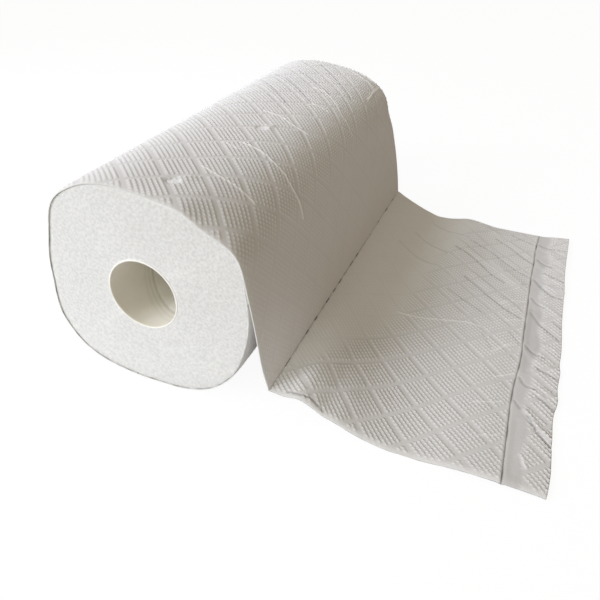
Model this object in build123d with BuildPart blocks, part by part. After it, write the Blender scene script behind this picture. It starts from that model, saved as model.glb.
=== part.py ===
from build123d import *
import math
import os

os.makedirs("parts", exist_ok=True)

# A paper towel roll lying on its side, in millimetres.
# +Z is up, Y runs along the roll from its near end to its far end, and the loose tail runs out towards +X.
# The origin is on the core's axis, halfway along the roll.

# Core: a spiral-wound board tube as long as the web is wide
core_bore_radius = 19.5
core_wall = 1.0
web_width = 279.0

# Wound body: a soft, slightly squashed outline around the core's axis, with a flat spot where it rests
axis_height = 55.4
soft_radius = 56.1
centre_offset_x = 4.8
centre_offset_z = 0.4
# Rounded corners of the squashed outline: direction in degrees, rise, and half width in degrees
corners = [
    (134.0, 10.6, 56.5),
    (31.3, 3.5, 16.7),
    (-46.4, 3.6, 37.5),
    (-149.4, 10.2, 60.3),
]
outline_arcs = 20

# Turns that show as a spiral furrow in both end faces
shown_turns = 4
first_turn = 1
arcs_per_turn = 6
furrow_width = 0.7
furrow_depth = 1.0
furrow_margin = 1.6

# Loose tail: the outermost turn, pulled straight from the roll to the first perforation, then draped
sheet_thickness = 0.6
leave_angle = 12.0
crease_gap = 10.9
crease_height = 16.0
lap_length = 3.0
lap_depth = 0.2
# Draped stretch along the near edge, the middle and the far edge of the web.
# Each pair is the run from the first perforation and the height of the underside above the surface.
near_drape = [(8.5, 16.0), (18.5, 15.6), (32.5, 9.4), (50.5, 3.4), (71.5, 0.6), (96.5, 2.2)]
middle_drape = [(8.5, 14.4), (20.5, 10.8), (34.5, 5.8), (52.5, 2.4), (72.5, 1.2), (96.5, 1.4)]
far_drape = [(8.5, 12.0), (22.5, 5.6), (36.5, 1.8), (52.5, 1.8), (70.5, 2.8), (94.5, 1.6)]
# The second perforation and the torn end at the same three places
second_crease = [(120.0, 1.4), (120.4, 1.0), (121.1, 1.0)]
torn_end = [(140.1, 1.8), (141.7, 1.2), (143.3, 2.2)]

# Perforations: a row of slits through the sheet along each crease
slit_pitch = 11.6
slit_length = 9.8
slit_width = 0.5
slit_reach = 9.0

core_outer_radius = core_bore_radius + core_wall
half_width = web_width / 2
near_end = Plane.XZ.offset(half_width)
mid_length = Plane.XZ
far_end = Plane.XZ.offset(-half_width)


def outline_radius(angle):
    """Distance from the core's axis to the roll's surface, in a direction given in degrees."""
    turn = math.radians(angle)
    radius = soft_radius + centre_offset_x * math.cos(turn) + centre_offset_z * math.sin(turn)
    for direction, rise, half_angle in corners:
        away = abs((angle - direction + 180.0) % 360.0 - 180.0)
        if away < half_angle:
            radius += rise * math.cos(math.pi / 2 * away / half_angle) ** 2
    return radius


def polar_point(angle, radius):
    """A point in the cross-section, from its direction in degrees and its distance from the axis."""
    turn = math.radians(angle)
    return (radius * math.cos(turn), radius * math.sin(turn))


def outline_point(angle):
    """The point of the roll's outline in a direction given in degrees."""
    return polar_point(angle, outline_radius(angle))


def furrow_point(turns, inset):
    """A point on the spiral furrow, from its count of turns outwards and its distance past the inner side."""
    angle = leave_angle + 360.0 * (shown_turns - turns)
    inner = core_outer_radius + furrow_margin
    outer = outline_radius(angle) - furrow_margin
    return polar_point(angle, inner + (outer - inner) * turns / shown_turns + inset)


def furrow_side(inset):
    """One side of the spiral furrow as arcs, from near the core to the place where the tail leaves the roll."""
    arcs = []
    for step in range(first_turn * arcs_per_turn, shown_turns * arcs_per_turn):
        arcs.append(
            ThreePointArc(*[furrow_point((step + part) / arcs_per_turn, inset) for part in (0, 0.5, 1)])
        )
    return arcs


def draped_point(run, height):
    """A point on the sheet's upper side, from its run past the first perforation and its height."""
    return (crease_top[0] + run, height + sheet_thickness - axis_height)


def underside(upper):
    """The sheet's lower side, one sheet thickness below an upper side that starts at the first crease."""
    lower = [crease_under]
    for number in range(1, len(upper)):
        before = upper[number - 1]
        here = upper[number]
        ahead = upper[min(number + 1, len(upper) - 1)]
        run = math.hypot(ahead[0] - before[0], ahead[1] - before[1])
        down_x = (ahead[1] - before[1]) / run * sheet_thickness
        down_z = (before[0] - ahead[0]) / run * sheet_thickness
        lower.append((here[0] + down_x, here[1] + down_z))
    return lower


# The straight stretch from the roll to the first perforation, seen along the roll
leave_point = outline_point(leave_angle)
crease_top = (outline_radius(0) + crease_gap, crease_height + sheet_thickness - axis_height)
hang_length = math.hypot(crease_top[0] - leave_point[0], crease_top[1] - leave_point[1])
hang_x = (crease_top[0] - leave_point[0]) / hang_length
hang_z = (crease_top[1] - leave_point[1]) / hang_length
lap_top = (leave_point[0] - hang_x * lap_length - lap_depth, leave_point[1] - hang_z * lap_length)
lap_under = (lap_top[0] + sheet_thickness * hang_z, lap_top[1] - sheet_thickness * hang_x)
# The sheet's lower side turns at the first crease where the two lower sides meet
fold_share = math.tan((math.pi / 2 - math.atan2(hang_x, -hang_z)) / 2)
crease_under = (
    crease_top[0] + sheet_thickness * (hang_z + fold_share * hang_x),
    crease_top[1] - sheet_thickness * (hang_x - fold_share * hang_z),
)


with BuildPart() as cardboard_core:
    with BuildSketch(near_end):
        Circle(core_outer_radius)
        Circle(core_bore_radius, mode=Mode.SUBTRACT)
    extrude(amount=-web_width)
cardboard_core.part.label = "cardboard_core"
export_step(cardboard_core.part, "parts/cardboard_core.step")


with BuildPart() as towel_paper:
    # Wound body, flattened where it rests
    with BuildSketch(near_end):
        with BuildLine():
            for number in range(outline_arcs):
                ThreePointArc(
                    *[outline_point(360.0 * (number + part) / outline_arcs) for part in (0, 0.5, 1)]
                )
        make_face()
        with Locations((0, -axis_height)):
            Rectangle(4 * soft_radius, soft_radius, align=(Align.CENTER, Align.MAX), mode=Mode.SUBTRACT)
    extrude(amount=-web_width)

    # Spiral furrow between the turns, in both end faces
    for end_face, inwards in ((near_end, -1), (far_end, 1)):
        with BuildSketch(end_face):
            with BuildLine():
                inner_side = furrow_side(0)
                outer_side = furrow_side(furrow_width)
                Line(inner_side[0] @ 0, outer_side[0] @ 0)
                Line(inner_side[-1] @ 1, outer_side[-1] @ 1)
            make_face()
        extrude(amount=inwards * furrow_depth, mode=Mode.SUBTRACT)

    # Straight stretch of the tail, lapped into the outermost turn
    with BuildSketch(near_end):
        with BuildLine():
            Polyline(lap_top, crease_top, crease_under, lap_under, close=True)
        make_face()
    extrude(amount=-web_width)

    # Draped stretch of the tail, from the first perforation past the second to the torn end
    for plane, drape, crease, end in zip(
        (near_end, mid_length, far_end),
        (near_drape, middle_drape, far_drape),
        second_crease,
        torn_end,
    ):
        upper = [crease_top] + [draped_point(*place) for place in drape + [crease, end]]
        lower = underside(upper)
        with BuildSketch(plane):
            with BuildLine():
                Spline(*upper[:-1])
                Polyline(upper[-2], upper[-1], lower[-1], lower[-2])
                Spline(*lower[:-1])
                Line(crease_under, crease_top)
            make_face()
    loft()

    # Seat for the core
    with BuildSketch(near_end):
        Circle(core_outer_radius)
    extrude(amount=-web_width, mode=Mode.SUBTRACT)

    # Perforations along both creases
    slit_count = int((web_width - slit_length) // slit_pitch)
    for slit_x, slit_z in (crease_top, draped_point(*second_crease[1])):
        with Locations((slit_x, 0, slit_z)):
            with GridLocations(0, slit_pitch, 1, slit_count):
                Box(slit_width, slit_length, slit_reach, mode=Mode.SUBTRACT)
towel_paper.part.label = "towel_paper"
export_step(towel_paper.part, "parts/towel_paper.step")
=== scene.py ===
import math

import bpy
import numpy as np
from mathutils import Matrix, Vector


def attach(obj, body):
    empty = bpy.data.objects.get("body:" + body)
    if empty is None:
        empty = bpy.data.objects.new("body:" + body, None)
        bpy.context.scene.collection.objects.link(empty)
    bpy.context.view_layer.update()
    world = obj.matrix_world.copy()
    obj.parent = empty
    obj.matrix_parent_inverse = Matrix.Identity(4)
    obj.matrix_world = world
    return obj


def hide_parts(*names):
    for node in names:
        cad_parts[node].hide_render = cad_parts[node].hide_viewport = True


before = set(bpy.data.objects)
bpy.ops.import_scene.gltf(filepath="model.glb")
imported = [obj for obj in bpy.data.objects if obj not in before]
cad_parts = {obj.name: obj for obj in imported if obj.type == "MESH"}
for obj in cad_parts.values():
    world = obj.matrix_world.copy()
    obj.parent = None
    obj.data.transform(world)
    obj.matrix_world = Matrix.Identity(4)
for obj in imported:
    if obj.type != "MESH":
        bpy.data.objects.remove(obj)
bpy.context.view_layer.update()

MM = 0.001

# Sizes in millimetres
# A run is a place along the web, counted from the first perforation: negative up over the roll and positive
# out to the torn end. A place across the web is counted from its near edge to its far edge.
web_width = 279.0
half_width = web_width / 2
core_bore_radius = 19.5
core_outer_radius = 20.5
floor_height = -55.4
sheet_thickness = 0.5
turn_step = 0.6

# First perforation, which lies straight across the web
crease_x = 71.5
crease_z = -38.8
towel_length = 124.0
end_strip_length = 21.0
# Runs at which the wound pieces of the web start: over the top, round the back and under the roll
top_starts = -206.0
back_starts = -318.0
underneath_starts = -431.0

# Squashed outline of the wound roll at its near rim and at its far end
soft_radius = (56.1, 57.7)
centre_offset_x = (4.8, 3.5)
centre_offset_z = (0.2, 0.2)
# Rounded corners: direction in degrees, rise, and half width in degrees, near and far
corners = (
    ((134.0, 10.9, 56.5), (134.0, 10.7, 56.5)),
    ((39.2, 3.6, 37.2), (38.6, 4.0, 38.8)),
    ((-46.4, 3.6, 37.5), (-46.4, 3.6, 37.5)),
    ((-149.4, 10.2, 60.3), (-149.4, 10.2, 60.3)),
)
# The near rim is squashed more sharply than the paper behind it
rim_corners = (
    (31.3, 1.2, 13.0),
    (51.0, -2.9, 17.0),
    (138.0, 1.2, 15.0),
    (172.0, 1.1, 18.0),
    (-155.0, 0.8, 12.0),
)
rim_corner_reach = 16.0
# The far end is squashed otherwise. The last number is how far along the roll that reaches
far_corners = ((25.9, -2.6, 17.2, 60.0), (73.0, 1.5, 50.0, 25.0))
# The paper is drawn in a little at both rims
rim_rounding = 1.1
rim_reach = 3.5
rim_set_back = 0.25
# Low on the near end the turns stand out a little, below the axis, left of the tail and clear of the core
near_bulge = 2.0
near_bulge_reach = 14.0
bulge_starts_below = 20.0
bulge_ends_right = 62.0
bulge_fade_down = 30.0
bulge_fade_right = 12.0
bulge_fade_out = 30.0
# The sheet that hangs from the roll bows out, more so at its far edge, and sags in beside its near edge
hang_bulge = (0.1, 1.0)
near_sag = 1.1
near_sag_reach = 45.0
# The outermost turn is shown for this many degrees back from where the sheet parts from the roll
tuck_lap = 362.0
# How finely the web's section is drawn: round the roll, down to the first perforation, and out from it
section_degrees = 0.5
hang_points = 60
out_step = 0.25
least_advance_squared = 0.01
# The section is drawn this far past the torn end
past_the_end = 2.0
# Directions in degrees between which the sheet can leave the roll
leave_range = (-5.0, 75.0)
# The near edge's drape gives way to the middle's this much faster than the middle's does to the far edge's
near_drape_haste = 1.25
crease_blend = 20.0

# Where the second perforation and the torn end lie, from the near edge to the far edge: across, distance out
second_crease = (
    (0, 191.4), (12, 191.2), (30, 191.0), (64, 190.7), (78, 191.2), (90, 192.2), (103, 192.9), (130, 192.6),
    (155, 192.7), (181, 192.5), (205, 192.4), (230, 192.9), (253, 193.0), (279, 194.4),
)
torn_end = (
    (0, 212.2), (12, 213.1), (40, 213.0), (62, 213.6), (66, 214.4), (84, 214.5), (98, 215.4), (106, 214.9),
    (113, 215.3), (160, 215.0), (188, 215.5), (214, 215.2), (279, 217.1),
)

# Height of the tail's upper side over the floor: run along the web past the first perforation, height
near_profile = (
    (0, 16.6), (8.8, 16.6), (17, 17.4), (22.9, 15.3), (31.3, 11.2), (39.3, 8.7), (47, 5.9), (60.9, 2.4),
    (74.1, 1.0), (86.6, 1.5), (98.6, 2.8), (110.5, 3.4), (122.6, 3.2), (136, 2.8), (146, 2.0),
)
middle_profile = (
    (0, 16.6), (8.5, 14.6), (21, 10.2), (35, 4.9), (44, 2.8), (53, 2.1), (72, 1.9), (97, 2.2), (110, 2.4),
    (124, 1.8), (136, 2.0), (146, 1.6),
)
far_profile = (
    (0, 16.6), (7.5, 13.3), (18.1, 8.7), (33.5, 3.0), (40.5, 1.0), (47.5, 0.8), (56.1, 2.0), (64.5, 3.8),
    (70.5, 3.8), (77.7, 2.8), (86.8, 1.3), (104, 0.8), (120, 0.8), (127, 1.0), (134, 2.2), (139.8, 3.0),
    (148.2, 3.8),
)


def smooth_through(knots, places):
    """A smooth curve through knots of (place, value), read at the given places."""
    x = np.array([knot[0] for knot in knots], float)
    y = np.array([knot[1] for knot in knots], float)
    slope = np.gradient(y, x)
    places = np.clip(places, x[0], x[-1])
    i = np.clip(np.searchsorted(x, places, side="right") - 1, 0, len(x) - 2)
    step = x[i + 1] - x[i]
    t = (places - x[i]) / step
    rise = (y[i + 1] - y[i]) / step
    first = slope[i] * step
    last = slope[i + 1] * step
    bend = 3 * rise * step - 2 * first - last
    twist = first + last - 2 * rise * step
    return y[i] + t * (first + t * (bend + t * twist))


def ease(t):
    """0 to 1 with soft ends."""
    t = np.clip(t, 0.0, 1.0)
    return t * t * (3 - 2 * t)


def along(pair, share):
    """The value a share of the way from the near end to the far end."""
    return pair[0] + (pair[1] - pair[0]) * share


def rounded_bump(angle, direction, half):
    """1 in a direction given in degrees, falling softly to 0 half a width to either side of it."""
    away = np.abs((angle - direction + 180.0) % 360.0 - 180.0)
    return np.where(away < half, np.cos(math.pi / 2 * away / half) ** 2, 0.0)


def outline(angle, across):
    """Radius of the wound roll in millimetres, for an angle in degrees and a place across the web."""
    angle = np.asarray(angle, float)
    share = across / web_width
    turn = np.radians(angle)
    radius = along(soft_radius, share) + along(centre_offset_x, share) * np.cos(turn)
    radius = radius + along(centre_offset_z, share) * np.sin(turn)
    bumps = [[along((near[n], far[n]), share) for n in range(3)] for near, far in corners]
    for direction, rise, half in rim_corners:
        bumps.append((direction, rise * math.exp(-across / rim_corner_reach), half))
    for direction, rise, half, reach in far_corners:
        bumps.append((direction, rise * math.exp((across - web_width) / reach), half))
    for direction, rise, half in bumps:
        radius = radius + rise * rounded_bump(angle, direction, half)
    edge = min(across, web_width - across)
    radius = radius + rim_rounding * (1 - math.exp(-edge / rim_reach)) - rim_set_back
    # The roll lies flat on the floor
    low = np.sin(turn) < -0.2
    return np.where(low, np.minimum(radius, floor_height / np.where(low, np.sin(turn), -1.0)), radius)


def bulge_at(x, z, across):
    """How far the low part of the near end stands out towards the front, at places seen along the roll."""
    low = ease((-bulge_starts_below - z) / bulge_fade_down) * ease((bulge_ends_right - x) / bulge_fade_right)
    outer = ease((np.hypot(x, z) - core_outer_radius) / bulge_fade_out)
    return near_bulge * low * outer * np.exp(-across / near_bulge_reach)


def leave_angle(across):
    """Direction in which the sheet leaves the roll, where a line from the first perforation touches it."""
    angles = np.arange(*leave_range, section_degrees)
    radius = outline(angles, across)
    x = radius * np.cos(np.radians(angles))
    z = radius * np.sin(np.radians(angles))
    return angles[np.argmin(np.arctan2(z - crease_z, x - crease_x))]


def rolled_section(across):
    """The web's upper side round the roll and down to the first perforation, as (run, x, z)."""
    start = leave_angle(across)
    angles = np.arange(start + tuck_lap, start - 0.01, -section_degrees)
    radius = outline(angles, across) - turn_step * (angles - start) / 360.0
    x = radius * np.cos(np.radians(angles))
    z = radius * np.sin(np.radians(angles))
    t = np.linspace(0, 1, hang_points)[1:]
    hang_x = crease_x - x[-1]
    hang_z = crease_z - z[-1]
    length = math.hypot(hang_x, hang_z)
    bulge = along(hang_bulge, across / web_width) * 4 * t * (1 - t)
    bulge = bulge - near_sag * math.exp(-across / near_sag_reach) * np.sin(math.pi * t**3)
    x = np.concatenate([x, x[-1] + hang_x * t - hang_z / length * bulge])
    z = np.concatenate([z, z[-1] + hang_z * t + hang_x / length * bulge])
    run = np.concatenate([[0], np.cumsum(np.hypot(np.diff(x), np.diff(z)))])
    return run - run[-1], x, z


def loose_section(across):
    """The web's upper side from the first perforation to past the torn end, as (run, x, z)."""
    length = towel_length + end_strip_length
    out = np.arange(out_step, length + past_the_end, out_step)
    share = across / web_width
    near = smooth_through(near_profile, out)
    middle = smooth_through(middle_profile, out)
    far = smooth_through(far_profile, out)
    if share < 0.5:
        height = near + (middle - near) * ease(2 * near_drape_haste * share)
    else:
        height = middle + (far - middle) * ease(2 * share - 1)
    # The drape starts at the first perforation's own height
    crease_height = crease_z - floor_height
    height = height + (crease_height - near_profile[0][1]) * (1 - ease(out / crease_blend))
    climb = np.diff(np.concatenate([[crease_height], height]))
    x = crease_x + np.cumsum(np.sqrt(np.maximum(out_step**2 - climb**2, least_advance_squared)))
    # The soft sheet is drawn out a little unevenly, so both ends of the strip wander
    crease_shift = float(smooth_through(second_crease, across)) - np.interp(towel_length, out, x)
    end_shift = float(smooth_through(torn_end, across)) - np.interp(length, out, x)
    x = x + np.interp(out, (0, towel_length, length), (0, crease_shift, end_shift))
    return out, x, floor_height + height


class Web:
    """The whole web as a table of places, read anywhere by its run and its place across."""

    def __init__(self):
        self.first_run = -440.0
        self.run_step = 0.5
        self.across_step = 0.75
        self.runs = np.arange(self.first_run, towel_length + end_strip_length + 1.5, self.run_step)
        self.acrosses = np.arange(0, web_width + self.across_step / 2, self.across_step)
        rows = []
        for across in self.acrosses:
            stretches = zip(rolled_section(across), loose_section(across))
            run, x, z = [np.concatenate(stretch) for stretch in stretches]
            rows.append((np.interp(self.runs, run, x), np.interp(self.runs, run, z)))
        self.x = np.array([row[0] for row in rows])
        self.z = np.array([row[1] for row in rows])

    def read(self, table, run, across):
        """A table's values at places between its rows and columns."""
        u = (run - self.first_run) / self.run_step
        v = across / self.across_step
        i = np.clip(u.astype(int), 0, len(self.runs) - 2)
        j = np.clip(v.astype(int), 0, len(self.acrosses) - 2)
        u = u - i
        v = v - j
        lower = table[j, i] * (1 - u) + table[j, i + 1] * u
        upper = table[j + 1, i] * (1 - u) + table[j + 1, i + 1] * u
        return lower * (1 - v) + upper * v

    def place(self, run, across):
        """Points of the web's upper side in millimetres, with y from the near end to the far end."""
        x = self.read(self.x, run, across)
        z = self.read(self.z, run, across)
        y = across - half_width - np.where(run < 0, bulge_at(x, z, across), 0.0)
        return np.stack([x, y, z], 1)

    def outwards(self, run, across):
        """Unit normals of the upper side."""
        reach = 0.8
        low = np.clip(across - reach, 0, web_width)
        high = np.clip(across + reach, 0, web_width)
        tangent = self.place(run + reach, across) - self.place(run - reach, across)
        sideways = self.place(run, high) - self.place(run, low)
        normal = np.cross(tangent, sideways)
        return normal / np.linalg.norm(normal, axis=1, keepdims=True)


web = Web()

# Creases, ridges and troughs left in the soft paper: (height, half width, [(run, place across), ...])
marks = [
    # Fine raised creases over the top of the roll
    (0.45, 0.55, [(-123.5, 43.5), (-112, 40.5), (-100.5, 39.5), (-89, 38.2)]),
    (0.6, 0.55, [(-121, 84.5), (-109, 84), (-98.5, 80), (-90, 78), (-82, 75), (-74, 74.8), (-64, 73)]),
    (0.35, 0.5, [(-129.5, 78), (-119, 75.8)]),
    (0.5, 0.55, [(-133, 139), (-119.5, 138), (-113.5, 134.5), (-98, 132)]),
    (0.45, 0.55, [(-115.5, 179.2), (-101.5, 177.8)]),
    (
        0.4,
        0.55,
        [(-125.5, 208.5), (-117.5, 209.2), (-115.5, 207.8), (-104, 198.8), (-93, 186.8), (-79, 180.8)],
    ),
    (0.6, 0.7, [(-116, 271), (-94, 266)]),
    (0.7, 0.7, [(-89.5, 240), (-91, 258), (-91, 275.2)]),
    # Plain bands that have gathered into fine valleys towards the far end
    (-0.35, 0.7, [(-168, 208.5), (-123, 159)]),
    (-0.35, 0.7, [(-166, 226), (-152, 216), (-115.5, 179)]),
    (-0.35, 0.7, [(-148, 238.5), (-111, 207)]),
    (-0.35, 0.7, [(-140.5, 266), (-98, 219)]),
    # Two dents pressed by a fingertip, each with a puffed side
    (-2.2, 2.0, [(-122.4, 112.2), (-121.8, 112.7)]),
    (0.6, 2.6, [(-119.6, 116.5), (-118.6, 119)]),
    (-1.9, 2.4, [(-127, 20.4), (-126.3, 21.1)]),
    (0.55, 2.8, [(-123.5, 25.5), (-121.5, 29)]),
    # The outermost turn ends in a fringe that stands up along the far rim
    (0.9, 0.6, [(-158, 275.2), (-125, 275.4), (-94, 275.2)]),
    # Valleys that run down the loose towel to the second perforation, with broad puffs between them
    (-0.39, 0.7, [(103.5, 269.2), (110, 265.5), (123.5, 258.8)]),
    (-0.45, 0.7, [(93, 256.5), (106, 244.5), (117.5, 231), (124, 225.8)]),
    (-0.45, 0.7, [(74, 241.5), (89.5, 233.2), (102.5, 219.8), (115.5, 207.8), (123.5, 203.2)]),
    (-0.49, 0.8, [(64.5, 225.8), (84, 210.8), (96, 195.8), (106, 187.5)]),
    (-0.42, 0.7, [(77.5, 184.5), (89, 173.2), (100, 161.2), (111.5, 150.8), (121.5, 145.5)]),
    (-0.32, 0.7, [(69, 162), (80, 153.8), (95, 142.5)]),
    (1.3, 5.0, [(96, 213), (106, 200), (117, 188)]),
    (0.8, 3.0, [(80, 270.8), (97.5, 265.5)]),
    (0.7, 3.6, [(104, 254), (119, 239)]),
    (0.6, 3.4, [(70, 228), (88, 215)]),
    (0.6, 3.6, [(84, 190), (98, 174)]),
    (0.5, 3.2, [(104, 165), (117, 156)]),
    (-0.17, 0.8, [(93.5, 145.5), (103.5, 134.2)]),
    (-0.24, 0.8, [(114.5, 127.5), (122, 116.2)]),
    (-0.17, 0.8, [(98.5, 119.2), (105.5, 104.2)]),
    # The towel swells beside its near edge where it turns out from the roll
    (0.6, 15.0, [(6, 22), (36, 20)]),
    # Fine raised creases on the loose towel
    (0.6, 0.55, [(44, 117.5), (58.5, 118.5), (72.5, 122.2), (88.5, 126), (97, 125.2)]),
    (0.45, 0.55, [(107, 101.2), (113, 110), (119.5, 115.5)]),
    (0.4, 0.55, [(105.5, 157.5), (114, 165), (123, 168.8)]),
    (0.35, 0.55, [(111, 138.8), (123.5, 145.5)]),
    (0.45, 0.55, [(112, 77.2), (122.5, 85.5)]),
    (0.4, 0.6, [(119.6, 57.5), (104, 50.7)]),
    (0.3, 0.6, [(119.6, 30.6), (110, 26.3)]),
    (0.22, 0.6, [(18, 15), (26, 18.8), (34, 19.5)]),
    # The near edge is folded down in a little curl beside the first perforation
    (-0.55, 0.55, [(9.5, 2.8), (17, 2.9), (22.5, 4.0), (26, 3.2), (31, 2.0)]),
    # Faint folds over the flattened stretch beside the first perforation
    (-0.22, 0.9, [(30, 232), (46, 222), (60, 214)]),
    (-0.2, 0.9, [(22, 205), (38, 196), (55, 192)]),
    (-0.2, 1.0, [(40, 262), (58, 250), (72, 246)]),
    (0.3, 2.2, [(34, 226), (52, 216)]),
    (0.3, 2.4, [(28, 200), (48, 190)]),
    # Puckers in the end strip, and the hollow beside the second perforation
    (-0.5, 0.9, [(125.5, 262), (133, 256), (144, 254)]),
    (0.5, 1.8, [(126, 256), (132, 250)]),
    (-0.5, 0.9, [(125.5, 236), (131, 228), (136, 224)]),
    (0.6, 2.0, [(126, 229), (130, 221)]),
    (-0.4, 0.8, [(125.4, 176), (130, 168), (134, 165)]),
    (-0.45, 0.8, [(125.3, 118), (131, 110), (137, 108)]),
    (0.5, 2.0, [(126, 112), (130, 104)]),
    (-0.4, 0.8, [(125.3, 84), (130, 77), (134, 76)]),
    (-0.35, 0.8, [(125.3, 62), (129, 56)]),
    (-0.4, 2.4, [(127.6, 92), (127.6, 160)]),
    (-0.25, 2.2, [(127.6, 8), (127.6, 45)]),
    (0.9, 3.4, [(134.5, 243), (142, 232)]),
    (0.7, 2.8, [(136, 226), (142, 221)]),
    (-0.8, 0.8, [(132, 214.5), (144.5, 205.2)]),
    (0.5, 1.8, [(131.5, 211), (145, 201)]),
    (-0.9, 1.1, [(126.5, 202.5), (132, 191.2), (137.5, 184), (145, 182)]),
    (0.8, 2.6, [(135, 195), (145, 190)]),
    (0.6, 2.8, [(136, 168), (144, 158)]),
    (-0.5, 0.9, [(126.5, 156.8), (133, 142.5), (144.5, 129.8)]),
    (-0.4, 0.8, [(139.5, 150.8), (145, 144.5)]),
    (0.4, 0.8, [(133.5, 123), (142, 118.5)]),
    (-0.7, 0.9, [(132.5, 96.8), (144.5, 90.6)]),
    (0.4, 1.6, [(133.5, 103), (144, 98)]),
    (-0.6, 0.9, [(135.5, 70.5), (145, 62.2)]),
    (0.5, 0.8, [(133, 74.5), (138, 71)]),
    (0.5, 1.6, [(137, 78), (145, 72)]),
    (0.7, 1.3, [(131, 56), (136, 48), (144, 38.5)]),
    (-0.7, 1.1, [(132.5, 51.8), (138, 42), (144.5, 33.4)]),
    (0.6, 0.6, [(131, 21.8), (134, 13.5)]),
    # The towel's side of the second perforation stands up in a lip
    (0.25, 0.6, [(122.9, -2), (122.9, 281)]),
]


def distance_to_line(run, across, line):
    """Distance in the flat web from each point to a broken line."""
    nearest = np.full(run.shape, 1e9)
    for (u0, v0), (u1, v1) in zip(line[:-1], line[1:]):
        du = u1 - u0
        dv = v1 - v0
        size = max(du * du + dv * dv, 1e-9)
        t = np.clip(((run - u0) * du + (across - v0) * dv) / size, 0, 1)
        nearest = np.minimum(nearest, np.hypot(run - u0 - t * du, across - v0 - t * dv))
    return nearest


def rounded_line(line):
    """The same line with more points on a smooth curve through them."""
    if len(line) < 3:
        return line
    u = [point[0] for point in line]
    v = [point[1] for point in line]
    gone = np.concatenate([[0], np.cumsum(np.hypot(np.diff(u), np.diff(v)))])
    places = np.linspace(0, gone[-1], 6 * len(line))
    return list(zip(smooth_through(list(zip(gone, u)), places), smooth_through(list(zip(gone, v)), places)))


marks = [(rise, half, rounded_line(line)) for rise, half, line in marks]
# A mark's height dies out within this many half widths of its line
height_reach = 3.5
# A mark's tone dies out within this many millimetres of its line
tone_reach = 3.0
# Raised creases above one height and below one half width get a painted highlight along their crests
crest_width = 0.45
highlight_rise = 0.28
highlight_half = 0.75
# Valleys below one half width get painted shade at their pinched bottoms
valley_width = 0.55
pinched_half = 1.2


def beside(line, reach, run, across):
    """Which points of the web are within reach of a mark's line, and how far each of them is from it."""
    u = [point[0] for point in line]
    v = [point[1] for point in line]
    near = (run > min(u) - reach) & (run < max(u) + reach)
    near &= (across > min(v) - reach) & (across < max(v) + reach)
    return near, distance_to_line(run[near], across[near], line)


def mark_height(run, across):
    """Height of all creases and troughs at each point of the web, in millimetres."""
    height = np.zeros(run.shape)
    for rise, half, line in marks:
        near, away = beside(line, height_reach * half, run, across)
        height[near] += rise * np.exp(-((away / half) ** 2))
    return height


def crest_highlight(run, across):
    """How strong the painted highlight along the crests of the fine raised creases is, 0 to 1."""
    light = np.zeros(run.shape)
    for rise, half, line in marks:
        if rise > highlight_rise and half < highlight_half:
            near, away = beside(line, tone_reach, run, across)
            on_the_tail = min(point[0] for point in line) > 0
            share = min(0.55, rise) if on_the_tail else min(1.0, rise / 0.5)
            light[near] = np.maximum(light[near], share * np.exp(-((away / crest_width) ** 2)))
    return light


def valley_shade(run, across):
    """How much painted shade darkens the pinched bottoms of the fine valleys, 0 to 1."""
    dark = np.zeros(run.shape)
    for rise, half, line in marks:
        if rise < 0 and half < pinched_half:
            near, away = beside(line, tone_reach, run, across)
            dark[near] = np.maximum(dark[near], min(0.4, -0.9 * rise) * np.exp(-((away / valley_width) ** 2)))
    return dark


# Embossing: diamonds of dots, seven a side, parted by plain bands one dot wide
finest_rows = 484
rows_across = finest_rows
grid_across = web_width / rows_across
rows_a_diamond = 8
dot_pitch = web_width / finest_rows * 3 * math.sqrt(2)
diamond_pitch = rows_a_diamond * dot_pitch
first_band_a = 0.4
first_band_b = 11.3
dot_height = 1.1

# Points this close to an edge lie on it
hair = 0.01
# The plain side of a sheet has every fourth point of the fine side's grid
back_step = 4
floor_clearance = 0.05
# Beyond this run the sheets meet out of sight
hidden_from = -200.0
# The dots are pressed flat this much faster than a crest rises
crest_press = 1.4
# The strip's plain margin: its width, how much its tone is lowered and how dark it is as painted shade,
# deeper over the hollow beside the second perforation
margin_width = 6.0
painted_margin_dimming = 0.3
painted_margin_shade = 0.04
hollow_painted_shade = 0.1
hollow_shade_from = 88
hollow_shade_to = 168
hollow_shade_fade = 14
# How far the near and far edges of the loose part turn down, over what width, and from which run on
near_edge_fall = 0.8
near_edge_width = 3.2
far_edge_fall = 0.4
far_edge_width = 3.0
edge_fall_fade = 8.0
# Depth of the valley along each perforation
first_dip = 0.2
second_dip = 0.45
dip_width = 0.5


def smooth_object(name, points, faces, attributes=()):
    """A mesh object from points in millimetres, smooth, with point attributes of three numbers each."""
    mesh = bpy.data.meshes.new(name)
    mesh.from_pydata((np.asarray(points) * MM).tolist(), [], faces)
    for label, values in attributes:
        made = mesh.attributes.new(label, "FLOAT_VECTOR", "POINT")
        made.data.foreach_set("vector", np.asarray(values, dtype=np.float32).ravel())
    mesh.polygons.foreach_set("use_smooth", [True] * len(mesh.polygons))
    mesh.update()
    obj = bpy.data.objects.new(name, mesh)
    bpy.context.scene.collection.objects.link(obj)
    return obj


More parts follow.
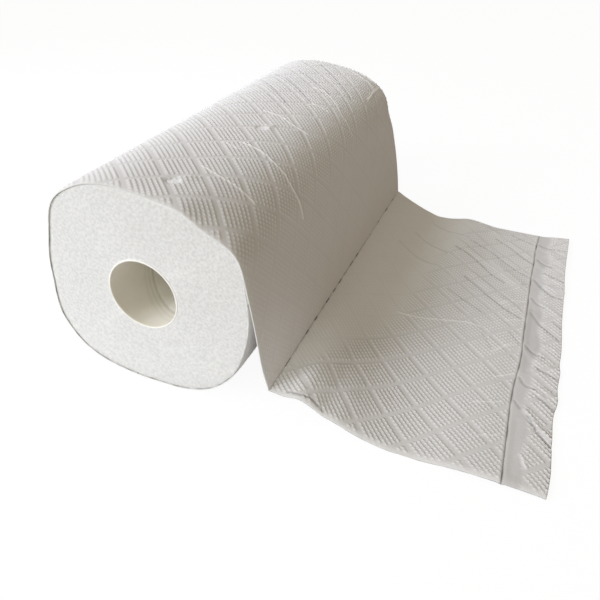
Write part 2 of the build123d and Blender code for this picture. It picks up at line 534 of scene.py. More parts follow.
def fine_side(columns, rows):
    """Every second point of a grid, as on a chessboard: places, numbers, and the faces between."""
    i, j = np.meshgrid(np.arange(columns + 1), np.arange(rows + 1), indexing="ij")
    even = (i + j) % 2 == 0
    index = -np.ones(i.shape, dtype=int)
    index[even] = np.arange(even.sum())
    gap_i = i[~even]
    gap_j = j[~even]
    inner = (gap_i > 0) & (gap_i < columns) & (gap_j > 0) & (gap_j < rows)
    around = ((-1, 0), (0, -1), (1, 0), (0, 1))
    faces = np.stack([index[gap_i[inner] + x, gap_j[inner] + y] for x, y in around], 1).tolist()
    for a, b in zip(gap_i[~inner], gap_j[~inner]):
        ring = [(a + x, b + y) for x, y in around]
        faces.append([int(index[p]) for p in ring if 0 <= p[0] <= columns and 0 <= p[1] <= rows])
    return i[even], j[even], index, faces


def plain_side(columns, rows, first_number):
    """Every few points of the same grid: places, numbers, and the faces between."""
    across_the_run = np.arange(0, rows + 1, back_step)
    i, j = np.meshgrid(np.arange(0, columns + 1, back_step), across_the_run, indexing="ij")
    index = np.arange(i.size).reshape(i.shape) + first_number
    around = (index[:-1, :-1], index[:-1, 1:], index[1:, 1:], index[1:, :-1])
    faces = np.stack([corner.ravel() for corner in around], 1).tolist()
    return i.ravel(), j.ravel(), index, faces


def wall_faces(fine, plain, path):
    """One face for each stretch of the plain side's border, with all the fine side's points above it."""
    faces = []
    for p, q in zip(path[:-1], path[1:]):
        upper = []
        for n in range(0, back_step + 1, 2):
            i = p[0] + (q[0] - p[0]) * n // back_step
            j = p[1] + (q[1] - p[1]) * n // back_step
            upper.append(int(fine[i, j]))
        lower = [int(plain[end[0] // back_step, end[1] // back_step]) for end in (q, p)]
        faces.append((upper + lower)[::-1])
    return faces


def web_looks(run, across, upper):
    """What the tissue reads at each point: its place in the embossing and the web, and its painted light and
    shade.
    """
    # A raised crease presses the dots on it flat
    crest = crest_highlight(run, across) * upper
    strength = emboss_strength(run, across) * upper * (1 - np.clip(crest_press * crest, 0, 1))
    slant_a = diamond_count(run + crease_x - across, first_band_a)
    slant_b = diamond_count(run + crease_x + across, first_band_b)
    margin = plain_margin(run, across)
    # The plain margin's painted shade is deeper over the hollow beside the second perforation
    over_the_hollow = ease((across - hollow_shade_from) / hollow_shade_fade) * ease((hollow_shade_to - across) / hollow_shade_fade)
    # Painted shade in the perforations' slits and along the bottoms of the fine valleys
    dark = np.maximum(slit_painted_shade(run, across), valley_shade(run, across))
    dark = np.maximum(dark, (painted_margin_shade + hollow_painted_shade * over_the_hollow) * margin)
    at_edge = (across < hair) | (across > web_width - hair)
    at_edge = at_edge | (run > towel_length + end_strip_length - hair)
    dark = np.where(upper, dark, np.where(at_edge, edge_shade(run), 0.0))
    # The lines carry the crests' painted highlight less the plain margin's painted shade
    return [
        ("dots", np.stack([slant_a, slant_b, strength], 1)),
        ("web", np.stack([run, across, dark], 1)),
        ("lines", np.stack([crest - painted_margin_dimming * margin, 0 * crest, 0 * crest], 1)),
    ]


def make_sheet(name, first, last):
    """A closed piece of the web between two runs: a fine upper side, a plain lower side and walls between."""
    columns = int(round((last - first) / grid_across / (2 * back_step))) * 2 * back_step
    fine_i, fine_j, fine, faces = fine_side(columns, rows_across)
    plain_i, plain_j, plain, plain_faces = plain_side(columns, rows_across, len(fine_i))
    faces += plain_faces
    borders = (
        [(n, 0) for n in range(0, columns + 1, back_step)],
        [(columns, n) for n in range(0, rows_across + 1, back_step)],
        [(n, rows_across) for n in range(columns, -1, -back_step)],
        [(0, n) for n in range(rows_across, -1, -back_step)],
    )
    wall_starts = []
    for border in borders:
        wall_starts.append(len(faces))
        faces += wall_faces(fine, plain, border)
    wall_starts.append(len(faces))

    run = first + np.concatenate([fine_i, plain_i]) * ((last - first) / columns)
    across = np.concatenate([fine_j, plain_j]) * grid_across
    upper = np.arange(len(run)) < len(fine_i)
    outwards = web.outwards(run, across)
    height = mark_height(run, across) + edge_dip(run) + edge_fall(run, across)
    height = height - np.where(upper, 0.0, sheet_thickness)
    points = web.place(run, across) + outwards * height[:, None]
    lowest = np.where(upper, floor_height + sheet_thickness, floor_height + floor_clearance)
    points[:, 2] = np.maximum(points[:, 2], lowest)
    sheet = smooth_object(name, points, faces, [("outwards", outwards)] + web_looks(run, across, upper))
    # The hidden wall between two wound pieces is flat, so the paper shades smoothly across their join
    for at, wall in ((last, 1), (first, 3)):
        if at < hidden_from:
            for number in range(wall_starts[wall], wall_starts[wall + 1]):
                sheet.data.polygons[number].use_smooth = False
    return sheet


def edge_fall(run, across):
    """How far the loose part's near and far edges turn down towards the surface."""
    near = -near_edge_fall * np.clip(1 - across / near_edge_width, 0, 1) ** 2
    far = -far_edge_fall * np.clip(1 - (web_width - across) / far_edge_width, 0, 1) ** 2
    return (near + far) * ease(run / edge_fall_fade)


def edge_dip(run):
    """Both perforations lie in a sharp valley where the sheet's two edges turn down to meet."""
    dip = np.zeros(run.shape)
    for at, depth in ((0.0, first_dip), (towel_length, second_dip)):
        dip -= depth * np.exp(-((run - at) / dip_width) ** 2)
    return dip


# Strength of the dots: over the top, lost on the side, on the flattened and on the free tail, and underneath
dots_on_top = 0.9
lost_on_side = 0.62
side_starts = -88.0
side_fade = 24.0
dots_flattened = 0.25
dots_beyond = 0.75
flattened_lead = 6.0
flattened_fade = 12.0
underside_starts = -300.0
dots_underneath = 0.25
# How far out from the first perforation the dots stay flattened, from the near edge to the far edge
flat_across = (0, 18, 30, 41, 63, 79, 88, 115, 148, 205, 227, 266, 279)
flat_until = (-8, 0, 11.5, 18, 27, 33, 38.5, 48.5, 49.5, 57, 63.5, 73.5, 76)


def plain_width(across):
    """Width of the plain margin on the strip's side of the second perforation."""
    return margin_width + 1.0 * np.sin(across / 17.0) + 1.2 * np.sin(across / 6.1 + 1.0)


def plain_margin(run, across):
    """1 on the strip's plain margin, which gets a little painted shade, and 0 elsewhere."""
    past = run - towel_length
    return np.where(past > 0, 1 - ease((past - plain_width(across)) / 3.0), 0.0)


def emboss_strength(run, across):
    """The dots stop short of the loose edges, and of the second perforation on the strip's side."""
    edge = np.minimum(across, web_width - across)
    rim = ease(edge / np.where(run > 0, 3.5, 1.5))
    # The dots are flattened where the web bears on the roll's side and where it turns out onto the surface
    side = dots_on_top - lost_on_side * ease((run - side_starts) / side_fade)
    edge_of_flat = np.interp(across, flat_across, flat_until)
    tail = dots_flattened + dots_beyond * ease((run - edge_of_flat + flattened_lead) / flattened_fade)
    side = np.where(run < 0, side, tail)
    # Under the roll they are pressed nearly flat
    side = side * np.where(run < underside_starts, dots_underneath, 1.0)
    past = run - towel_length
    strip = np.where(past > 0, ease((past - plain_width(across)) / 4.5), ease((-past - 0.5) / 2.0))
    return rim * strip * side


def diamond_count(slant, first_band):
    """Count of diamonds along one slant of the web, from its first plain band."""
    return slant / math.sqrt(2) / diamond_pitch - first_band / diamond_pitch


# Slits that stand open along the first perforation, with painted shade in them: from, to, and how dark they
# show
open_slits = (
    (20, 28, 1.0), (52, 57, 0.9), (67, 72, 1.0), (88, 94, 1.0), (102, 107, 0.9), (114, 119, 0.9),
    (139, 146, 0.7), (153, 159, 0.9), (187, 191, 0.4), (211, 216, 0.5), (235, 242, 0.8), (256, 261, 0.4),
)
slit_reach = 0.3
# Between these places across, the closed slits of the first perforation get painted shade too
closed_slits_from = 16
closed_slits_to = 185
# The sheet hangs free of the roll between these runs
hang_from = -75
hang_to = -3


def slit_painted_shade(run, across):
    """Painted shade in the perforations: 0 on the sheet, up to 1 in an open slit."""
    shows = (across > closed_slits_from) & (across < closed_slits_to)
    first = np.where(shows, 0.22 + 0.12 * np.sin(across * 0.55), 0.06)
    for start, end, dark in open_slits:
        first = np.where((across > start) & (across < end), dark, first)
    second = 0.5 + 0.3 * np.sin(across * 0.31) * np.sin(across * 0.113 + 1.0)
    second = np.where(np.abs(run - towel_length) < slit_reach, second, 0.0)
    return np.where(np.abs(run) < slit_reach, first, second)


def edge_shade(run):
    """How dark the sheet's cut edge is: shaded in short lengths, and lit where the sheet hangs free."""
    broken = np.sin(run * 0.61) * np.sin(run * 0.23 + 1.3)
    shade = np.where(run > 0, 0.5 + 0.35 * broken, 0.3 + 0.35 * broken)
    shade = np.where((run > top_starts) & (run < 0), 0.08, shade)
    return np.clip(np.where((run > hang_from) & (run < hang_to), 0.0, shade), 0.0, 1.0)


# Small helpers for node trees
def add(tree, kind, inputs=(), **settings):
    """A node with its settings, its inputs set or linked by name or number."""
    node = tree.nodes.new(kind)
    for name, value in settings.items():
        setattr(node, name, value)
    for key, value in dict(inputs).items():
        if isinstance(value, bpy.types.NodeSocket):
            tree.links.new(value, node.inputs[key])
        else:
            node.inputs[key].default_value = value
    return node


def calc(tree, operation, *values):
    """A Math node's result."""
    return add(tree, "ShaderNodeMath", enumerate(values), operation=operation).outputs[0]


def noise(tree, where, scale, detail, roughness=0.5, seed=None):
    """A soft random pattern, 0 to 1. With a seed, each seed gives another one."""
    inputs = {"Vector": where, "Scale": scale, "Detail": detail, "Roughness": roughness}
    if seed is not None:
        inputs["W"] = seed
    dimensions = "3D" if seed is None else "4D"
    return add(tree, "ShaderNodeTexNoise", inputs, noise_dimensions=dimensions).outputs["Fac"]


def three_numbers(tree, name):
    """The three numbers that each point of a piece carries under a name, as X, Y and Z."""
    if tree.bl_idname == "GeometryNodeTree":
        read = add(tree, "GeometryNodeInputNamedAttribute", {"Name": name}, data_type="FLOAT_VECTOR")
        vector = read.outputs["Attribute"]
    else:
        vector = add(tree, "ShaderNodeAttribute", attribute_name=name).outputs["Vector"]
    return add(tree, "ShaderNodeSeparateXYZ", {0: vector}).outputs


def noise_round_the_roll(tree, across_turns, along_arc, detail, seed=None):
    """Noise drawn out along the wound turns, by its steps for each turn and each millimetre of arc."""
    winding = three_numbers(tree, "winding")
    turn_place = calc(tree, "MULTIPLY", winding["X"], across_turns)
    arc_place = calc(tree, "MULTIPLY", winding["Y"], along_arc)
    where = add(tree, "ShaderNodeCombineXYZ", {0: turn_place, 1: arc_place})
    return noise(tree, where.outputs[0], 1.0, detail, seed=seed)


def keep_number(tree, geometry, name, value):
    """The same geometry, with a number kept at each point under a name."""
    inputs = {"Geometry": geometry, "Name": name, "Value": value}
    kept = add(tree, "GeometryNodeStoreNamedAttribute", inputs, data_type="FLOAT", domain="POINT")
    return kept.outputs[0]


def node_group(name, sizes):
    """An empty Geometry Nodes tree with a named input for each size, and its own inputs and outputs."""
    tree = bpy.data.node_groups.new(name, "GeometryNodeTree")
    tree.interface.new_socket("Geometry", in_out="INPUT", socket_type="NodeSocketGeometry")
    for label, value in sizes.items():
        made = tree.interface.new_socket(label, in_out="INPUT", socket_type="NodeSocketFloat")
        made.default_value = value
    tree.interface.new_socket("Material", in_out="INPUT", socket_type="NodeSocketMaterial")
    tree.interface.new_socket("Geometry", in_out="OUTPUT", socket_type="NodeSocketGeometry")
    given = tree.nodes.new("NodeGroupInput")
    result = tree.nodes.new("NodeGroupOutput")
    return tree, given.outputs, result.inputs


def raise_and_paint(tree, given, result, geometry, height):
    """Ends a tree: moves each point outwards by its height, and gives the plain mesh its material."""
    outwards = add(tree, "GeometryNodeInputNamedAttribute", {"Name": "outwards"}, data_type="FLOAT_VECTOR")
    shift = {0: outwards.outputs["Attribute"], "Scale": height}
    shift = add(tree, "ShaderNodeVectorMath", shift, operation="SCALE")
    moved = add(tree, "GeometryNodeSetPosition", {"Geometry": geometry, "Offset": shift.outputs[0]})
    whole = add(tree, "GeometryNodeRealizeInstances", {0: moved.outputs[0]})
    painted = {"Geometry": whole.outputs[0], "Material": given["Material"]}
    painted = add(tree, "GeometryNodeSetMaterial", painted)
    tree.links.new(painted.outputs[0], result[0])
    return tree


def run_tree(obj, tree, **values):
    """Runs a Geometry Nodes tree on an object and keeps the plain mesh that it makes."""
    modifier = obj.modifiers.new(tree.name, "NODES")
    modifier.node_group = tree
    for item in tree.interface.items_tree:
        label = item.name.replace(" ", "_").lower()
        if item.in_out == "INPUT" and label in values:
            modifier[item.identifier] = values[label]
    evaluated = obj.evaluated_get(bpy.context.evaluated_depsgraph_get())
    mesh = bpy.data.meshes.new_from_object(evaluated)
    obj.modifiers.remove(modifier)
    old = obj.data
    obj.data = mesh
    mesh.name = obj.name
    bpy.data.meshes.remove(old)
    return obj


def embossing_tree():
    """Raises dots where two slants of lines cross, leaving out every eighth line of both, with a painted
    highlight on their tops.
    """
    sizes = {
        "Dots to a diamond": 8.0,
        "Dot height": 0.0004,
        "Dot sharpness": 2.0,
        "Join along a row": 0.2,
        "Unevenness": 0.3,
        "Seed": 3.0,
        "Flattened tone": 0.3,
    }
    tree, given, result = node_group("dot_embossing", sizes)
    dots = three_numbers(tree, "dots")
    count = given["Dots to a diamond"]
    rows = []
    dotted = []
    for slant, join in ((dots["X"], given["Join along a row"]), (dots["Y"], 0.0)):
        place = calc(tree, "MULTIPLY", slant, count)
        whole = calc(tree, "ROUND", place)
        off = calc(tree, "SUBTRACT", place, whole)
        wave = calc(tree, "COSINE", calc(tree, "MULTIPLY", off, 2 * math.pi))
        bump = calc(tree, "POWER", calc(tree, "MULTIPLY_ADD", wave, 0.5, 0.5), given["Dot sharpness"])
        bump = calc(tree, "ADD", calc(tree, "MULTIPLY", bump, calc(tree, "SUBTRACT", 1.0, join)), join)
        which = calc(tree, "FLOORED_MODULO", calc(tree, "ADD", whole, 0.5), count)
        shown = calc(tree, "GREATER_THAN", which, 1.0)
        rows.append(calc(tree, "MULTIPLY", bump, shown))
        dotted.append(shown)
    both = calc(tree, "MULTIPLY", *rows)
    bands = calc(tree, "SUBTRACT", 1.0, calc(tree, "MULTIPLY", *dotted))
    # Tops of dots get a painted highlight and gaps painted shade; plain bands and flattened paper get the
    # middling tone
    flattened = given["Flattened tone"]
    dot_painted_highlight = calc(tree, "MULTIPLY_ADD", bands, 0.1, calc(tree, "MULTIPLY", both, 1.2))
    tone = calc(tree, "MULTIPLY", calc(tree, "SUBTRACT", dot_painted_highlight, flattened), dots["Z"])
    tone = calc(tree, "ADD", calc(tree, "ADD", tone, flattened), three_numbers(tree, "lines")["X"])
    toned = keep_number(tree, given["Geometry"], "painted_light_tone", tone)
    place = add(tree, "GeometryNodeInputPosition").outputs[0]
    uneven = calc(tree, "SUBTRACT", noise(tree, place, 70.0, 2.0, seed=given["Seed"]), 0.5)
    uneven = calc(tree, "MULTIPLY", uneven, given["Unevenness"])
    height = calc(tree, "MULTIPLY", both, given["Dot height"])
    height = calc(tree, "MULTIPLY", height, calc(tree, "MULTIPLY_ADD", uneven, 2.0, 1.0))
    height = calc(tree, "MULTIPLY", height, dots["Z"])
    return raise_and_paint(tree, given, result, toned, height)


def matte_material(name, roughness, shine):
    """A material with nothing but a Principled shader and its output."""
    material = bpy.data.materials.new(name)
    material.use_nodes = True
    tree = material.node_tree
    tree.nodes.clear()
    looks = {"Roughness": roughness, "Specular IOR Level": shine}
    shader = add(tree, "ShaderNodeBsdfPrincipled", looks)
    add(tree, "ShaderNodeOutputMaterial", {0: shader.outputs[0]})
    return material, tree, shader


def mixed(tree, factor, first, second):
    """A colour that goes from the first to the second as the factor goes from 0 to 1."""
    return add(tree, "ShaderNodeMix", {"Factor": factor, 6: first, 7: second}, data_type="RGBA").outputs[2]


def colour_and_grain(tree, shader, colour, grain, strength, depth):
    """Gives a shader its colour, and a fine grain of a depth in metres."""
    bump = add(tree, "ShaderNodeBump", {"Height": grain, "Strength": strength, "Distance": depth})
    tree.links.new(colour, shader.inputs["Base Color"])
    tree.links.new(bump.outputs[0], shader.inputs["Normal"])


def tissue_material():
    """Soft off-white tissue: matte, fine fibres, painted highlight on dots and crests, painted shade in slits
    and valleys.
    """
    material, tree, shader = matte_material("soft_tissue", 0.92, 0.15)
    shader.inputs["Diffuse Roughness"].default_value = 0.6
    place = add(tree, "ShaderNodeTexCoord").outputs["Object"]
    cloudy = noise(tree, place, 55.0, 5.0, 0.6)
    fibres = noise(tree, place, 1500.0, 3.0, 0.7)
    painted_light_tone = add(tree, "ShaderNodeAttribute", attribute_name="painted_light_tone").outputs["Fac"]
    colour = mixed(tree, cloudy, (0.66, 0.65, 0.635, 1), (0.72, 0.715, 0.705, 1))
    # Painted highlight: the dots' tops and the crests lighter, the plain margin darker as painted shade
    colour = mixed(tree, painted_light_tone, colour, (1.0, 1.0, 0.99, 1))
    # Painted shade: the slits, valley bottoms, plain margin and cut edges darken towards near black
    colour = mixed(tree, three_numbers(tree, "web")["Z"], colour, (0.05, 0.045, 0.04, 1))
    colour_and_grain(tree, shader, colour, fibres, 0.25, 0.0002)
    return material


def cut_edge_material():
    """The web's edges packed turn on turn: white, with a fine crushed grain that runs round the roll."""
    material, tree, shader = matte_material("packed_tissue_edges", 0.95, 0.1)
    place = add(tree, "ShaderNodeTexCoord").outputs["Object"]
    grain = noise(tree, place, 620.0, 3.0, 0.65)
    arcs = noise_round_the_roll(tree, 0.42, 0.16, 2.0)
    mottle = calc(tree, "MULTIPLY_ADD", arcs, 0.6, calc(tree, "MULTIPLY", grain, 0.8))
    mottle = calc(tree, "MULTIPLY_ADD", calc(tree, "SUBTRACT", mottle, 0.7), 4.4, 0.55)
    colour = mixed(tree, mottle, (0.80, 0.80, 0.79, 1), (0.97, 0.97, 0.96, 1))
    colour_and_grain(tree, shader, colour, calc(tree, "MULTIPLY_ADD", arcs, 0.9, grain), 0.6, 0.0006)
    return material


def board_material():
    """Greyish-beige core board, matte, with short fibres, a darker seam and paler ends."""
    material, tree, shader = matte_material("core_board", 0.85, 0.25)
    place = add(tree, "ShaderNodeTexCoord").outputs["Object"]
    fibres = noise(tree, place, 240.0, 6.0, 0.7)
    seam = add(tree, "ShaderNodeAttribute", attribute_name="seam").outputs["Fac"]
    colour = mixed(tree, fibres, (0.85, 0.82, 0.735, 1), (0.93, 0.90, 0.815, 1))
    colour = mixed(tree, calc(tree, "MULTIPLY", seam, 0.45), colour, (0.3, 0.27, 0.2, 1))
    colour = mixed(tree, three_numbers(tree, "tube")["Z"], (0.92, 0.915, 0.88, 1), colour)
    colour_and_grain(tree, shader, colour, fibres, 0.2, 0.0003)
    return material


tissue = tissue_material()
cut_edges = cut_edge_material()
board = board_material()
embossing = embossing_tree()

sheets = {}
for name, first, last in (
    ("end_strip", towel_length, towel_length + end_strip_length),
    ("loose_towel", 0.0, towel_length),
    ("towel_over_the_top", top_starts, 0.0),
    ("towel_round_the_back", back_starts, top_starts),
    ("towel_under_the_roll", underneath_starts, back_starts),
):
    sheet = make_sheet(name, first, last)
    sheets[name] = run_tree(sheet, embossing, dot_height=dot_height * MM, material=tissue)


# Wound turns seen from the ends, and the wall under the outer sheet
turns = 98
arc_steps = 200
ridges_a_turn = 2
rim_inset = 0.35
rim_width = 1.2
wall_drop = 0.2
# Direction in degrees in which the turns start and end
lap_angle = 12.0
# Clearances under the outer sheet, round the core, and between the core and the first turn
under_sheet = 0.08
round_core = 0.02
first_turn_gap = 0.15
# Places along the roll where the wall and the bore are divided
wall_places = (3.0, 8.0, 30.0, 70.0, 110.0, 140.0, 170.0, 210.0, 250.0, 271.0, 276.0)


def body_outline(angle, across):
    """Radius of the wound turns just under the outer sheet, for an angle up to one turn past the lap."""
    gone = (angle - lap_angle) / 360.0
    lag = np.maximum(gone, 1 - (angle - lap_angle) / 15.0)
    return outline(angle, across) - sheet_thickness - under_sheet - turn_step * lag


def wound_body():
    """One closed piece: a bore, a wall under the sheet, and both end faces wound as a spiral of ridges."""
    step = 360.0 / arc_steps
    bore = core_outer_radius + round_core
    loop_angles = lap_angle + step * np.arange(arc_steps)
    points = []
    facing = []
    winding = []
    faces = []

    def put(radius, angle, y, side=0.0, turn_count=0.0, ridge=0.0):
        """Adds points and returns the first one's number."""
        start = len(points)
        level = np.zeros(len(angle))
        x = radius * np.cos(np.radians(angle))
        z = radius * np.sin(np.radians(angle))
        y = level + y
        y = y - bulge_at(x, z, y + half_width)
        arc = np.radians(lap_angle + 360.0 * turn_count) * radius
        points.extend(np.stack([x, y, z], 1).tolist())
        facing.extend(np.stack([level, level + side, level], 1).tolist())
        winding.extend(np.stack([level + turn_count, level + arc, level + ridge], 1).tolist())
        return start

    def band(first, second):
        """Faces between two rings."""
        for n in range(arc_steps):
            after = (n + 1) % arc_steps
            faces.append([first + n, second + n, second + after, first + after])

    def end_face(side):
        """The spiral of ridges at one end. Returns the first points of its inner and outer rings."""
        y_end = side * half_width
        across = 0.0 if side < 0 else web_width
        inner_ring = put(bore, loop_angles, y_end, side)
        total = turns * arc_steps
        last = total - arc_steps
        starts = []
        for r in range(ridges_a_turn):
            number = np.arange(total + 1 if r == 0 else last + 1)
            angle = lap_angle + step * (number % arc_steps)
            count = number / arc_steps + r / ridges_a_turn
            share = count / (turns + 0.6)
            limit = body_outline(angle, across)
            radius = bore + first_turn_gap + (limit - bore - first_turn_gap) * share
            inset = rim_inset * np.exp(-(limit - radius) / rim_width)
            starts.append(put(radius, angle, y_end - side * inset, side, count, 1.0 if r == 0 else -1.0))
        y_rim = y_end - side * (rim_inset + wall_drop)
        outer_ring = put(body_outline(loop_angles, across), loop_angles, y_rim, turn_count=float(turns))

        def at(number, r):
            """A ridge's point by its number. Past the last ridge of a turn comes the next turn's first."""
            return starts[0] + number + arc_steps if r == ridges_a_turn else starts[r] + number

        made = []
        for n in range(last):
            for r in range(ridges_a_turn):
                made.append([at(n, r), at(n + 1, r), at(n + 1, r + 1), at(n, r + 1)])
        seam_in = [at(0, r) for r in range(ridges_a_turn + 1)]
        seam_out = [at(last, r) for r in range(ridges_a_turn + 1)]
        for n in range(arc_steps - 1):
            made.append([inner_ring + n, inner_ring + n + 1, at(n + 1, 0), at(n, 0)])
        made.append([inner_ring + arc_steps - 1, inner_ring] + seam_in + [at(arc_steps - 1, 0)])
        made.append([at(last, 0), at(last + 1, 0), outer_ring + 1, outer_ring] + seam_out[:0:-1])
        for n in range(1, arc_steps - 1):
            made.append([at(last + n, 0), at(last + n + 1, 0), outer_ring + n + 1, outer_ring + n])
        made.append([at(total - 1, 0), at(total, 0), outer_ring, outer_ring + arc_steps - 1])
        faces.extend(made if side < 0 else [face[::-1] for face in made])
        return inner_ring, outer_ring

    near_inner, near_outer = end_face(-1.0)
    far_inner, far_outer = end_face(1.0)
    before = near_outer
    for across in wall_places:
        after = put(body_outline(loop_angles, across), loop_angles, across - half_width)
        band(after, before)
        before = after
    band(far_outer, before)
    before = near_inner
    for across in wall_places:
        after = put(bore, loop_angles, across - half_width)
        band(before, after)
        before = after
    band(before, far_inner)
    return smooth_object("wound_turns", points, faces, [("winding", winding), ("outwards", facing)])


def turns_tree():
    """Sets each turn of the end faces a little in or out along its arc, with a sharp edge to each ply."""
    sizes = {
        "Ply edge height": 0.00004,
        "Turn offset": 0.0003,
        "Waviness": 0.0012,
        "Set back": 0.0005,
        "Seed": 5.0,
    }
    tree, given, result = node_group("wound_turns", sizes)
    seed = given["Seed"]
    place = add(tree, "GeometryNodeInputPosition").outputs[0]
    ply = noise_round_the_roll(tree, 1.3, 0.09, 1.0, seed)
    turn = noise_round_the_roll(tree, 0.9, 0.012, 2.0, seed)
    broad = noise(tree, place, 28.0, 1.0, seed=seed)
    ply, turn, broad = [calc(tree, "SUBTRACT", value, 0.5) for value in (ply, turn, broad)]
    edge = calc(tree, "MULTIPLY", three_numbers(tree, "winding")["Z"], given["Ply edge height"])
    edge = calc(tree, "MULTIPLY", edge, calc(tree, "MULTIPLY_ADD", ply, 2.5, 1.0))
    offset = calc(tree, "MULTIPLY", turn, given["Turn offset"])
    wave = calc(tree, "MULTIPLY", broad, given["Waviness"])
    height = calc(tree, "ADD", calc(tree, "ADD", edge, offset), wave)
    height = calc(tree, "SUBTRACT", height, given["Set back"])
    return raise_and_paint(tree, given, result, given["Geometry"], height)


body = run_tree(wound_body(), turns_tree(), material=cut_edges)


# Board core
core_sides = 96
core_edge = 0.25
core_ring_pitch = 1.2


def core_tube():
    """A closed board tube with rounded-over ends, its bore divided finely enough to carry the spiral seam."""
    angles = np.radians(360.0 / core_sides * np.arange(core_sides))
    rim = core_bore_radius + core_edge
    shoulder = core_outer_radius - core_edge
    far_edge = web_width - core_edge
    rings = [(rim, 0.0, 0.0), (shoulder, 0.0, 0.0), (core_outer_radius, core_edge, 0.0)]
    rings += [(core_outer_radius, far_edge, 0.0), (shoulder, web_width, 0.0), (rim, web_width, 0.0)]
    bore_places = [core_edge, *np.arange(1.0 + core_edge, web_width - 0.5, core_ring_pitch), far_edge]
    rings += [(core_bore_radius, across, 1.0) for across in bore_places[::-1]]
    points = []
    inward = []
    tube = []
    for radius, across, inside in rings:
        for n in range(core_sides):
            x = math.cos(angles[n])
            z = math.sin(angles[n])
            points.append((radius * x, across - half_width, radius * z))
            inward.append((-x * inside, 0.0, -z * inside))
            tube.append((n / core_sides, across, inside))
    faces = []
    for ring in range(len(rings)):
        a = ring * core_sides
        b = (ring + 1) % len(rings) * core_sides
        for n in range(core_sides):
            after = (n + 1) % core_sides
            faces.append([a + n, a + after, b + after, b + n])
    return smooth_object("core_tube", points, faces, [("tube", tube), ("outwards", inward)])


def seam_tree():
    """Presses the edges of the spiral-wound board plies into the bore as a band of fine parallel lines."""
    sizes = {"Pitch": 84.0, "Start": 83.0, "Line width": 0.9, "Groove depth": 0.0003, "Lap height": 0.0002}
    tree, given, result = node_group("spiral_seam", sizes)
    tube = three_numbers(tree, "tube")
    run = calc(tree, "DIVIDE", calc(tree, "SUBTRACT", tube["Y"], given["Start"]), given["Pitch"])
    run = calc(tree, "ADD", run, tube["X"])
    part = calc(tree, "SUBTRACT", calc(tree, "FRACT", calc(tree, "ADD", run, 0.5)), 0.5)
    away = calc(tree, "MULTIPLY", part, given["Pitch"])
    depth = 0.0
    for place, share in ((0.0, 1.0), (-3.6, 0.45), (-7.0, 0.3)):
        line = calc(tree, "DIVIDE", calc(tree, "SUBTRACT", away, place), given["Line width"])
        line = calc(tree, "EXPONENT", calc(tree, "MULTIPLY", calc(tree, "MULTIPLY", line, line), -1.0))
        depth = calc(tree, "ADD", depth, calc(tree, "MULTIPLY", line, share))
    lap = calc(tree, "MULTIPLY", calc(tree, "GREATER_THAN", part, 0.0), given["Lap height"])
    lap = calc(tree, "MULTIPLY", lap, calc(tree, "SUBTRACT", 1.0, calc(tree, "MULTIPLY", part, 2.0)))
    height = calc(tree, "SUBTRACT", lap, calc(tree, "MULTIPLY", depth, given["Groove depth"]))
    seam = keep_number(tree, given["Geometry"], "seam", calc(tree, "MULTIPLY", depth, tube["Z"]))
    return raise_and_paint(tree, given, result, seam, height)


core = run_tree(core_tube(), seam_tree(), material=board)


# Camera, solved from the photograph
camera_data = bpy.data.cameras.new("photo_camera")
camera_data.lens = 36.2
camera_data.sensor_width = 36.0
camera_data.clip_start = 0.01
camera_data.clip_end = 50
camera = bpy.data.objects.new("photo_camera", camera_data)
bpy.context.scene.collection.objects.link(camera)
camera_turn = Matrix.Rotation(math.radians(19.867), 4, "Z")
camera_tilt = Matrix.Rotation(math.radians(90 - 34.019), 4, "X")
camera_roll = Matrix.Rotation(math.radians(2.791), 4, "Z")
camera_place = Matrix.Translation((0.16288, -0.35243, 0.17441))
camera.matrix_world = camera_place @ camera_turn @ camera_tilt @ camera_roll
bpy.context.scene.camera = camera

# Light: two soft windows in front, two soft panels on the left, some light thrown back, and a warm even fill
def hang_lamp(name, kind, strength, colour, back, place=(0.0, 0.0, 0.0), **settings):
    """A lamp that shines the opposite way of the direction back."""
    data = bpy.data.lights.new(name, kind)
    data.energy = strength
    data.color = colour
    for setting, value in settings.items():
        setattr(data, setting, value)
    lamp = bpy.data.objects.new(name, data)
    bpy.context.scene.collection.objects.link(lamp)
    lamp.location = place
    lamp.rotation_mode = "QUATERNION"
    lamp.rotation_quaternion = Vector(back).to_track_quat("Z", "Y")


def window_light(name, strength, colour, spread, towards, height):
    """A soft distant light. Its direction in plan is in degrees, 0 from the front and 90 from the left."""
    a = math.radians(towards)
    e = math.radians(height)
    back = (-math.sin(a) * math.cos(e), -math.cos(a) * math.cos(e), math.sin(e))
    hang_lamp(name, "SUN", strength, colour, back, angle=math.radians(spread))


def panel_light(name, watts, colour, size, place, aim):
    """A soft square light near the object, facing a point."""
    hang_lamp(name, "AREA", watts, colour, Vector(place) - Vector(aim), place, size=size)


def spot_light(name, watts, colour, cone, place, aim):
    """A narrow soft-edged beam, as a patch of light thrown back from something pale."""
    beam = {"spot_size": math.radians(cone), "spot_blend": 1.0, "shadow_soft_size": 0.03}
    hang_lamp(name, "SPOT", watts, colour, Vector(place) - Vector(aim), place, **beam)


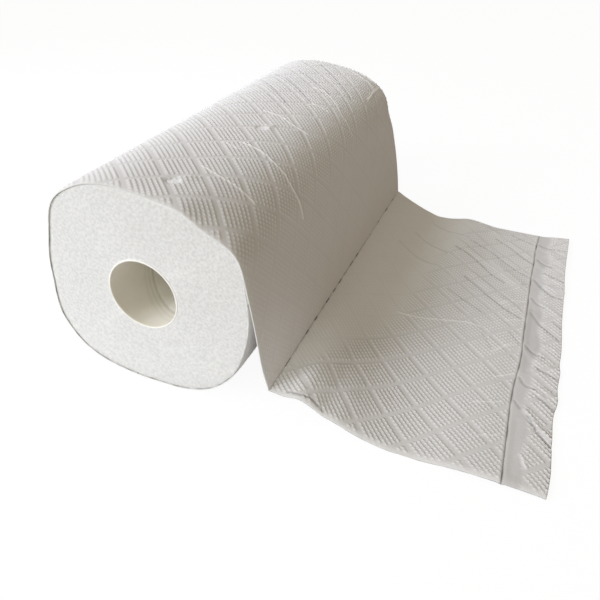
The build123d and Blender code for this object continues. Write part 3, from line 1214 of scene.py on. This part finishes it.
window_light("front_window", 0.72, (0.95, 1.0, 0.94), 22, 5, 24)
window_light("front_left_window", 1.12, (0.855, 0.88, 1.0), 22, 35, 24)
panel_light("front_left_panel", 1.2, (0.915, 0.97, 1.0), 0.35, (-0.4, -0.45, 0.3), (0.0, 0.05, 0.0))
panel_light("high_left_panel", 1.8, (0.767, 0.828, 1.0), 0.35, (-0.4, 0.0, 0.5), (0.0, 0.05, 0.0))
spot_light("bounce_on_the_fold", 0.42, (0.84, 0.91, 1.0), 24, (0.26, -0.23, 0.12), (0.088, -0.132, -0.045))


def seen_directly(tree):
    """1 for what the camera, a gloss or clear material sees, 0 for light on the object."""
    path = add(tree, "ShaderNodeLightPath").outputs
    seen = calc(tree, "MAXIMUM", path["Is Camera Ray"], path["Is Glossy Ray"])
    return calc(tree, "MAXIMUM", seen, path["Is Transmission Ray"])


world = bpy.data.worlds.new("pale_room")
bpy.context.scene.world = world
world.use_nodes = True
room = world.node_tree
room.nodes.clear()
fill = add(room, "ShaderNodeBackground", {"Color": (0.285, 0.232, 0.168, 1), "Strength": 1.0})
white = add(room, "ShaderNodeBackground", {"Color": (1, 1, 1, 1), "Strength": 1.0})
sky = add(room, "ShaderNodeMixShader", {0: seen_directly(room), 1: fill.outputs[0], 2: white.outputs[0]})
add(room, "ShaderNodeOutputWorld", {0: sky.outputs[0]})

floor_mesh = bpy.data.meshes.new("floor")
floor_mesh.from_pydata([(-6, -6, 0), (6, -6, 0), (6, 6, 0), (-6, 6, 0)], [], [(0, 1, 2, 3)])
floor_mesh.transform(Matrix.Translation((0, 0, floor_height * MM)))
floor = bpy.data.objects.new("floor", floor_mesh)
bpy.context.scene.collection.objects.link(floor)
floor_material = bpy.data.materials.new("white_floor")
floor_material.use_nodes = True
ground = floor_material.node_tree
ground.nodes.clear()
matte = add(ground, "ShaderNodeBsdfDiffuse", {"Color": (0.8, 0.8, 0.8, 1)})
glow = add(ground, "ShaderNodeEmission", {"Color": (1, 1, 1, 1), "Strength": 1.06})
share = calc(ground, "MULTIPLY", seen_directly(ground), 0.88)
surface = add(ground, "ShaderNodeMixShader", {0: share, 1: matte.outputs[0], 2: glow.outputs[0]})
add(ground, "ShaderNodeOutputMaterial", {0: surface.outputs[0]})
floor_mesh.materials.append(floor_material)

bpy.context.scene.view_settings.view_transform = "Standard"

for piece in [*sheets.values(), body]:
    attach(piece, "root")
    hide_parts("towel_paper")
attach(core, "root")
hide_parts("cardboard_core")
